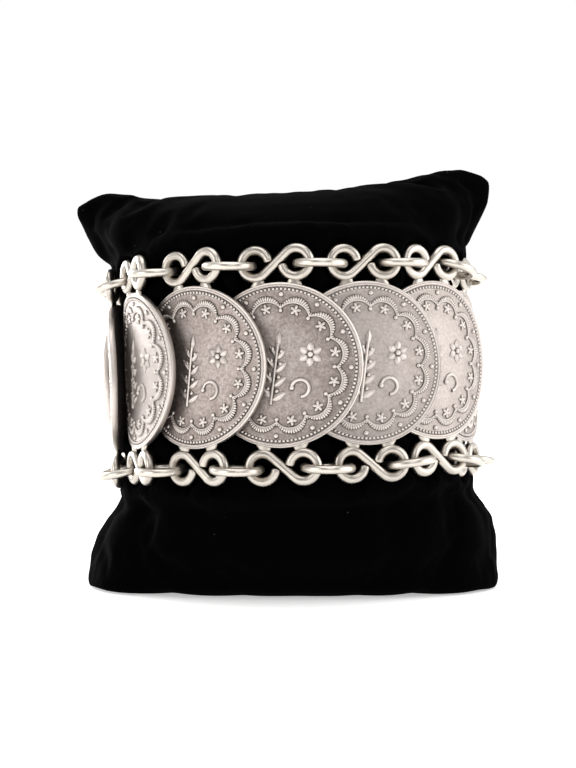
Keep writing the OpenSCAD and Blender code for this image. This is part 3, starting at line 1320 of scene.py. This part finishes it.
@dataclass
class Clasp:
    """Plain upright flat bar with an eye for each of its four rings."""

    width: float = 3.0 * MM
    thickness: float = 0.95 * MM
    length: float = 39.0 * MM
    edge_radius: float = 0.28 * MM
    eye_side: float = 3.5 * MM
    eye_radius: float = 2.34 * MM
    wire: float = 0.84 * MM
    scroll_height: float = 17.08 * MM

    def build(self, satin: bpy.types.Material) -> bpy.types.Object:
        """Build the clasp in its own frame.

        Args:
            satin: material of the clasp.

        Returns:
            The clasp.
        """
        deselect()
        bpy.ops.mesh.primitive_cube_add(size=1, scale=(self.width, self.thickness, self.length))
        bar = settle("clasp_bar")
        apply_modifier(bar, "BEVEL", width=self.edge_radius, segments=3)
        parts = [bar]
        for side in (-1, 1):
            for row in Row:
                deselect()
                bpy.ops.mesh.primitive_torus_add(
                    major_radius=self.eye_radius,
                    minor_radius=self.wire,
                    major_segments=40,
                    minor_segments=14,
                    location=(side * self.eye_side, 0, row.value * self.scroll_height),
                    rotation=(math.pi / 2, 0, 0),
                )
                parts.append(settle())
        clasp = fuse("clasp_master", parts)
        smooth(clasp, 40)
        clasp.data.materials.append(satin)
        return clasp


@dataclass(frozen=True)
class Fold:
    """One gather in the velvet, running out of the pinched waist into a lobe.

    Its angle and half width are in degrees round the pillow, from +X towards +Y. Its depth and its reach
    beyond the band are in millimetres.
    """

    row: Row
    angle: float
    width: float
    depth: float
    reach: float


@dataclass
class Pillow:
    """Stuffed velvet display pillow, pinched at its waist by the bracelet.

    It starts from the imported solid. The stuffing presses the cloth out by a cloth simulation, which runs
    at ten times the size, where the solver's usual values hold. Then the cloth swells out of the waist
    between the links, and the gathers and the seam are worked in.
    """

    layout: LoopLayout
    voxel: float = 1.5 * MM
    fill: float = 0.85

    # Cloth simulation.
    sim_scale: float = 10
    frames: int = 20
    quality: int = 6
    pressure: float = 4
    shrink: float = -0.04
    stiffness: float = 1.5
    slack: float = 0.9 * MM
    most_swell: float = 1.3 * MM
    # Heights of the middles of the lower and the upper lobe, from which the cloth is pressed out.
    lobe_heights: tuple[float, float] = (10 * MM, 68 * MM)
    # How far the upper and the lower end of the side seam stand out, to the left and to the right.
    top_spread: tuple[float, float] = (1.0 * MM, 0.7 * MM)
    low_spread: tuple[float, float] = (0.35 * MM, 0.3 * MM)
    spread_side: float = 34 * MM
    spread_power: int = 6

    # What holds the cloth: the bracelet's band on both sides of the loop's middle, the foot and the seam.
    band: float = 20.4 * MM
    band_fade: float = 3 * MM
    foot: float = 2 * MM
    foot_fade: float = 4 * MM
    seam_width: float = 0.9 * MM
    seam_hold: float = 3.5 * MM
    seam_depth: float = 0.3 * MM
    seam_fade: float = 2 * MM

    # Swell at the waist. The cloth may reach further out above and below the coins' middles.
    air: float = 0.5 * MM
    least_air: float = 0.47 * MM
    near_band: float = 2 * MM
    step: float = 0.2 * MM
    most_room: float = 4 * MM
    most_radius: float = 31.2 * MM
    bulge_radius: float = 33.6 * MM
    bulge_height: float = 9.5 * MM
    waist_reach: float = 21.5 * MM
    waist_fade: float = 3 * MM
    even_rounds: int = 2
    clear_rounds: int = 14
    kept_share: float = 0.6

    fold_fade: float = 2.5 * MM
    folds: tuple[Fold, ...] = (
        Fold(Row.TOP, 171, 5, 1.1, 11), Fold(Row.TOP, 196, 6, 1.3, 14), Fold(Row.TOP, 216, 7, 0.9, 9),
        Fold(Row.TOP, 247, 9, 0.5, 7), Fold(Row.TOP, 290, 9, 0.6, 8), Fold(Row.TOP, 322, 7, 1.0, 12),
        Fold(Row.TOP, 342, 5, 1.4, 14), Fold(Row.TOP, 8, 5, 1.1, 11), Fold(Row.TOP, 32, 8, 1.0, 12),
        Fold(Row.TOP, 66, 9, 0.6, 8), Fold(Row.TOP, 110, 9, 0.7, 9), Fold(Row.TOP, 148, 8, 1.0, 12),
        Fold(Row.LOW, 188, 5, 1.2, 14), Fold(Row.LOW, 208, 6, 1.4, 17), Fold(Row.LOW, 232, 7, 0.9, 12),
        Fold(Row.LOW, 266, 9, 0.5, 8), Fold(Row.LOW, 306, 8, 0.9, 12), Fold(Row.LOW, 328, 6, 1.4, 18),
        Fold(Row.LOW, 347, 5, 1.2, 14), Fold(Row.LOW, 12, 6, 1.1, 13), Fold(Row.LOW, 40, 8, 1.0, 12),
        Fold(Row.LOW, 84, 9, 0.6, 9), Fold(Row.LOW, 128, 8, 0.9, 12), Fold(Row.LOW, 158, 6, 1.2, 14),
    )

    def blank(self) -> bpy.types.Object:
        """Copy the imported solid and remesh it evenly.

        Returns:
            The blank pillow.
        """
        pillow = bpy.data.objects.new("velvet_pillow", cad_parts["pillow"].data.copy())
        bpy.context.collection.objects.link(pillow)
        tidy_mesh(pillow)
        take_up(pillow)
        pillow.data.remesh_voxel_size = self.voxel
        bpy.ops.object.voxel_remesh()
        apply_modifier(pillow, "SMOOTH", factor=0.5, iterations=1)
        return pillow

    def beyond(self, place: Vector) -> float:
        """Height of a point over the middle of the loop, along the loop's axis."""
        return (self.layout.pillow_frame().inverted() @ place).z

    def from_seam(self, place: Vector) -> float:
        """How far a point of the cloth is from the upright seam, as a share of the seam's hold."""
        return min(max((abs(place.y) - self.seam_width) / self.seam_hold, 0), 1)

    def free(self, place: Vector) -> float:
        """How free of the bracelet and the foot a point of the cloth is.

        Args:
            place: the point.

        Returns:
            From 0, held, to 1, free.
        """
        over = (abs(self.beyond(place)) - self.band) / self.band_fade
        foot = (place.z - self.foot) / self.foot_fade
        return min(max(min(over, foot), 0), 1)

    def held(self, place: Vector) -> float:
        """How firmly the bracelet, the foot or the seam holds a point of the cloth, from 0 to 1."""
        return 1 - min(self.free(place), self.from_seam(place))

    def spread(self, place: Vector) -> float:
        """How far the seam holds a point of the cloth out to its side.

        Args:
            place: the point.

        Returns:
            The distance along X.
        """
        sides = self.top_spread if place.z > self.layout.height else self.low_spread
        reach = min(abs(place.x) / self.spread_side, 1) ** self.spread_power
        way = 1 if place.x > 0 else -1
        return way * sides[place.x > 0] * reach * self.free(place) * (1 - self.from_seam(place))

    def puff(self, pillow: bpy.types.Object) -> None:
        """Press the cloth out from inside, by no more than the greatest swell.

        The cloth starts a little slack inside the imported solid, so that it swells to about that size.

        Args:
            pillow: the blank pillow.
        """
        group = pillow.vertex_groups.new(name="held")
        for vertex in pillow.data.vertices:
            held = self.held(vertex.co)
            group.add([vertex.index], held, "REPLACE")
            lobe = Vector((0, 0, self.lobe_heights[vertex.co.z > self.layout.height]))
            sideways = self.spread(vertex.co)
            vertex.co += (lobe - vertex.co).normalized() * self.slack * (1 - held)
            vertex.co.x += sideways
        start = [vertex.co.copy() for vertex in pillow.data.vertices]
        pillow.data.transform(Matrix.Scale(self.sim_scale, 4))
        modifier = pillow.modifiers.new("Cloth", "CLOTH")
        cloth = modifier.settings
        cloth.vertex_group_mass = group.name
        cloth.quality = self.quality
        cloth.use_pressure = True
        cloth.uniform_pressure_force = self.pressure
        cloth.shrink_min = self.shrink
        cloth.bending_stiffness = self.stiffness
        cloth.effector_weights.gravity = 0
        modifier.collision_settings.use_collision = False
        scene = bpy.context.scene
        for number in range(1, self.frames + 1):
            scene.frame_set(number)
        swollen = pillow.evaluated_get(bpy.context.evaluated_depsgraph_get()).data
        ends = [vertex.co / self.sim_scale for vertex in swollen.vertices]
        pillow.modifiers.remove(modifier)
        pillow.vertex_groups.clear()
        scene.frame_set(1)
        for vertex, before, after in zip(pillow.data.vertices, start, ends):
            move = after - before
            if move.length > self.most_swell:
                move = move.normalized() * self.most_swell
            vertex.co = before + move

    def metal_tree(self) -> BVHTree:
        """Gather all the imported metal, which the cloth keeps clear of.

        Returns:
            Its search tree.
        """
        places = []
        faces = []
        for name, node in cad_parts.items():
            if name == "pillow":
                continue
            first = len(places)
            places.extend(vertex.co.copy() for vertex in node.data.vertices)
            faces.extend([first + corner for corner in face.vertices] for face in node.data.polygons)
        return BVHTree.FromPolygons(places, faces)

    def room(self, tree: BVHTree, place: Vector, way: Vector) -> float:
        """How far a point of the cloth can swell before it comes close to the metal.

        Args:
            tree: search tree of the metal.
            place: the point.
            way: direction in which it swells.

        Returns:
            The distance.
        """
        to_loop = self.layout.pillow_frame().inverted()
        room = 0.0
        while room < self.most_room:
            ahead = place + way * (room + self.step)
            spot = to_loop @ ahead
            limit = self.bulge_radius if abs(spot.z) > self.bulge_height else self.most_radius
            if spot.xy.length > limit or tree.find_nearest(ahead, self.air)[0] is not None:
                break
            room += self.step
        return room

    def fill_waist(self, pillow: bpy.types.Object, tree: BVHTree) -> None:
        """Let the cloth swell out of the waist, between the links and rings, until it comes close to them.

        Args:
            pillow: the swollen pillow.
            tree: search tree of the metal.
        """
        rooms = []
        for vertex in pillow.data.vertices:
            fade = (abs(self.beyond(vertex.co)) - self.waist_reach) / self.waist_fade
            share = min(max(1 - fade, 0), 1)
            rooms.append(share * self.room(tree, vertex.co, vertex.normal) if share else 0.0)
        for _ in range(self.even_rounds):
            sums = [0.0] * len(rooms)
            counts = [0] * len(rooms)
            for edge in pillow.data.edges:
                for here, there in (edge.vertices, reversed(edge.vertices)):
                    sums[here] += rooms[there]
                    counts[here] += 1
            evened = [(room + total) / (count + 1) for room, total, count in zip(rooms, sums, counts)]
            rooms = [min(room, even) for room, even in zip(rooms, evened)]
        moves = [vertex.normal * room for vertex, room in zip(pillow.data.vertices, rooms)]
        self.swell_clear(pillow.data, moves, tree)

    def too_close(self, mesh: bpy.types.Mesh, faces: list, tree: BVHTree) -> set[int]:
        """Corners of the cloth's faces that cut or nearly touch the metal.

        Args:
            mesh: the cloth's mesh.
            faces: corners of each of its faces.
            tree: search tree of the metal.

        Returns:
            The corners' numbers.
        """
        cloth = BVHTree.FromPolygons([vertex.co for vertex in mesh.vertices], faces)
        corners = {corner for face, _ in cloth.overlap(tree) for corner in faces[face]}
        reach = self.band + self.near_band
        for face in mesh.polygons:
            if abs(self.beyond(face.center)) < reach and tree.find_nearest(face.center, self.least_air)[0]:
                corners.update(faces[face.index])
        for vertex in mesh.vertices:
            if abs(self.beyond(vertex.co)) < reach and tree.find_nearest(vertex.co, self.least_air)[0]:
                corners.add(vertex.index)
        return corners

    def swell_clear(self, mesh: bpy.types.Mesh, moves: list[Vector], tree: BVHTree) -> None:
        """Move the cloth, and take back a share of the move wherever it comes too close to the metal.

        Args:
            mesh: the cloth's mesh.
            moves: the whole move of each vertex.
            tree: search tree of the metal.
        """
        start = [vertex.co.copy() for vertex in mesh.vertices]
        faces = [list(face.vertices) for face in mesh.polygons]
        for _ in range(self.clear_rounds):
            for vertex, place, move in zip(mesh.vertices, start, moves):
                vertex.co = place + move
            corners = {corner for corner in self.too_close(mesh, faces, tree) if moves[corner].length > 0}
            log.info("cloth too close to the metal at %d points", len(corners))
            if not corners:
                return
            for corner in corners:
                long = moves[corner].length > self.step / 2
                moves[corner] = moves[corner] * self.kept_share if long else Vector()

    def gather(self, pillow: bpy.types.Object) -> None:
        """Work the gathers and the seam into the cloth.

        Args:
            pillow: the swollen pillow.
        """
        to_loop = self.layout.pillow_frame().inverted()
        moves = []
        for vertex in pillow.data.vertices:
            place = to_loop @ vertex.co
            row = Row.TOP if place.z > 0 else Row.LOW
            over = max(abs(place.z) - self.band, 0)
            angle = math.degrees(math.atan2(place.y, place.x))
            sink = 0.0
            for fold in self.folds:
                if fold.row is not row:
                    continue
                away = (angle - fold.angle + 180) % 360 - 180
                rise = min(over / self.fold_fade, 1)
                fade = math.exp(-((away / fold.width) ** 2) - over / (fold.reach * MM))
                sink += fold.depth * MM * rise * fade
            seam = math.exp(-((vertex.co.y / self.seam_width) ** 2)) * min(over / self.seam_fade, 1)
            sink += self.seam_depth * seam * min(vertex.co.z / self.foot_fade, 1)
            moves.append(-vertex.normal * sink)
        for vertex, move in zip(pillow.data.vertices, moves):
            vertex.co += move

    def build(self, velvet: bpy.types.Material) -> bpy.types.Object:
        """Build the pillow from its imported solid.

        Args:
            velvet: material of the pillow.

        Returns:
            The pillow.
        """
        pillow = self.blank()
        self.puff(pillow)
        apply_modifier(pillow, "SUBSURF", levels=1, render_levels=1)
        tree = self.metal_tree()
        self.fill_waist(pillow, tree)
        self.gather(pillow)
        smooth(pillow, 180)
        pillow.data.materials.clear()
        pillow.data.materials.append(velvet)
        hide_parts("pillow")
        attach(pillow, "root")
        report(pillow, "pillow")
        return pillow


@dataclass
class Bracelet:
    """The loop of thirteen coin links, the clasp, and fourteen rings in each row."""

    layout: LoopLayout
    # Each ring is turned by its own angle in degrees, with its seam towards the pillow.
    seam_start: int = 130
    seam_step: int = 47
    seam_range: int = 100

    def mark_handling_and_light(self, piece: bpy.types.Object, amount: float) -> None:
        """Store how far a coin's dark and light are evened out, partly for wear from hands and partly as
        painted light on the coins that the side lamps fall on.

        Args:
            piece: the coin link.
            amount: from 0, as it left the bath, to 1, evenly bright.
        """
        handling_and_light = piece.data.attributes.new("handling_and_light", "FLOAT", "POINT")
        handling_and_light.data.foreach_set("value", [amount] * len(piece.data.vertices))

    def build(
        self, cast: bpy.types.Material, satin: bpy.types.Material, polish: bpy.types.Material
    ) -> None:
        """Build every piece of the loop in its place.

        Args:
            cast: material of the coins.
            satin: material of scrolls, lugs and clasp.
            polish: material of the rings.
        """
        link = CoinLink().build(cast, satin)
        for unit in range(1, self.layout.units):
            place = self.layout.unit_matrix(unit)
            piece = place_copy(link, f"cast_link_{unit:02d}", place, f"coin_link_{unit:02d}", Finish.CAST)
            self.mark_handling_and_light(piece, self.layout.handling_and_light[unit - 1])
        ring = JumpRing().build(polish)
        for unit in range(1, self.layout.units + 1):
            angle = self.seam_start + self.seam_step * unit % self.seam_range
            turned = Matrix.Rotation(math.radians(angle), 4, "Z")
            for row, prefix in ((Row.TOP, "top"), (Row.LOW, "low")):
                place = self.layout.ring_matrix(unit, row) @ turned
                node = f"{prefix}_ring_{unit:02d}"
                place_copy(ring, f"wire_{node}", place, node, Finish.WIRE)
        clasp = Clasp().build(satin)
        place_copy(clasp, "clasp_bar", self.layout.unit_matrix(self.layout.units), "clasp", Finish.CAST)
        for master in (link, ring, clasp):
            bpy.data.objects.remove(master)


@dataclass
class Studio:
    """Plain pale floor, soft studio light and the camera of the photograph."""

    camera_distance: float = 277.8 * MM
    camera_height: float = 41.5 * MM
    camera_dip: float = 0.7
    focal_pixels: float = 1465
    sensor_height: float = 36
    floor_size: float = 4.0
    floor_glow: float = 0.45
    paper_fibre: float = 2 * MM
    front_glow: float = 0.36
    back_glow: float = 1.2
    tent_white: float = 1.02
    aim: tuple[float, float, float] = (0, 0, 0.04)
    # Each softbox has its name, place, side in metres and power in watts.
    softboxes: tuple = (
        ("top_softbox", (0.0, -0.12, 0.6), 0.5, 1.7),
        ("left_softbox", (-0.55, -0.38, 0.22), 0.4, 1.5),
        ("left_rear_softbox", (-0.56, 0.56, 0.25), 0.5, 6.5),
        ("right_softbox", (0.66, -0.12, 0.2), 0.7, 3.8),
        ("front_softbox", (0.12, -0.62, 0.42), 0.3, 0.7),
    )

    def floor(self) -> None:
        """Lay the pale floor."""
        deselect()
        bpy.ops.mesh.primitive_plane_add(size=self.floor_size, location=(0, 0, 0))
        floor = settle("studio_floor")
        material, shader = new_material("white_paper_sweep")
        tree = material.node_tree
        place = add_node(tree, "ShaderNodeTexCoord").outputs["Object"]
        fibre = add_node(
            tree,
            "ShaderNodeTexNoise",
            {"Scale": 1 / self.paper_fibre, "Detail": 2},
            {"Vector": place},
        )
        tint = add_node(
            tree,
            "ShaderNodeMix",
            {"A": linear("#f7f7f6"), "B": linear("#fbfbfa")},
            {"Factor": fibre.outputs["Fac"]},
            data_type="RGBA",
        )
        tree.links.new(tint.outputs["Result"], shader.inputs["Base Color"])
        shader.inputs["Roughness"].default_value = 0.85
        shader.inputs["Specular IOR Level"].default_value = 0.1
        shader.inputs["Emission Color"].default_value = linear("#ffffff")
        shader.inputs["Emission Strength"].default_value = self.floor_glow
        floor.data.materials.append(material)

    def softbox(self, name: str, place: tuple, size: float, power: float) -> None:
        """Hang a square soft light that faces the bracelet.

        Args:
            name: name of the light.
            place: where it hangs.
            size: length of its side.
            power: its power in watts.
        """
        deselect()
        facing = (Vector(self.aim) - Vector(place)).to_track_quat("-Z", "Y").to_euler()
        bpy.ops.object.light_add(type="AREA", location=place, rotation=facing)
        lamp = bpy.context.object
        lamp.name = name
        lamp.data.shape = "SQUARE"
        lamp.data.size = size
        lamp.data.energy = power

    def light(self) -> None:
        """Set the white surroundings, dimmer in reflections and dimmest in front, and the softboxes."""
        world = bpy.data.worlds.new("white_tent")
        world.use_nodes = True
        tree = world.node_tree
        seen = add_node(tree, "ShaderNodeLightPath").outputs["Is Camera Ray"]
        way = add_node(tree, "ShaderNodeTexCoord").outputs["Generated"]
        depth = add_node(tree, "ShaderNodeSeparateXYZ", links={"Vector": way}).outputs["Y"]
        glow = add_node(
            tree,
            "ShaderNodeMapRange",
            {"From Min": -0.55, "From Max": 0.45, "To Min": self.front_glow, "To Max": self.back_glow},
            {"Value": depth},
            interpolation_type="SMOOTHSTEP",
        )
        strength = add_node(
            tree,
            "ShaderNodeMix",
            {"B": self.tent_white},
            {"Factor": seen, "A": glow.outputs["Result"]},
            data_type="FLOAT",
        )
        backdrop = tree.nodes["Background"]
        backdrop.inputs["Color"].default_value = linear("#ffffff")
        tree.links.new(strength.outputs["Result"], backdrop.inputs["Strength"])
        bpy.context.scene.world = world
        bpy.context.scene.view_settings.view_transform = "Standard"
        for name, place, size, power in self.softboxes:
            self.softbox(name, place, size, power)

    def camera(self) -> None:
        """Set the camera at the photograph's angle and distance."""
        data = bpy.data.cameras.new("photo_camera")
        data.sensor_fit = "VERTICAL"
        data.sensor_height = self.sensor_height
        data.lens = self.focal_pixels / PHOTO_HEIGHT * data.sensor_height
        data.clip_start = 0.01
        camera = bpy.data.objects.new("photo_camera", data)
        camera.location = (0, -self.camera_distance, self.camera_height)
        camera.rotation_euler = Euler((math.radians(90 - self.camera_dip), 0, 0))
        bpy.context.collection.objects.link(camera)
        bpy.context.scene.camera = camera

    def build(self) -> None:
        """Build the whole studio."""
        self.floor()
        self.light()
        self.camera()


def main() -> None:
    """Build the studio, the pillow and the bracelet, and report each piece."""
    logging.basicConfig(level=logging.INFO, format="%(name)s: %(message)s")
    Studio().build()
    cast = AntiqueSilver().build()
    satin = SatinSilver().build()
    polish = SatinSilver(
        name="polished_silver_ring",
        bright="#cdc6bd",
        worn="#b3aca2",
        roughness=0.32,
        ripple_depth=0.006 * MM,
    ).build()
    layout = LoopLayout()
    Pillow(layout).build(BlackVelvet().build())
    Bracelet(layout).build(cast, satin, polish)


if __name__ == "__main__":
    main()
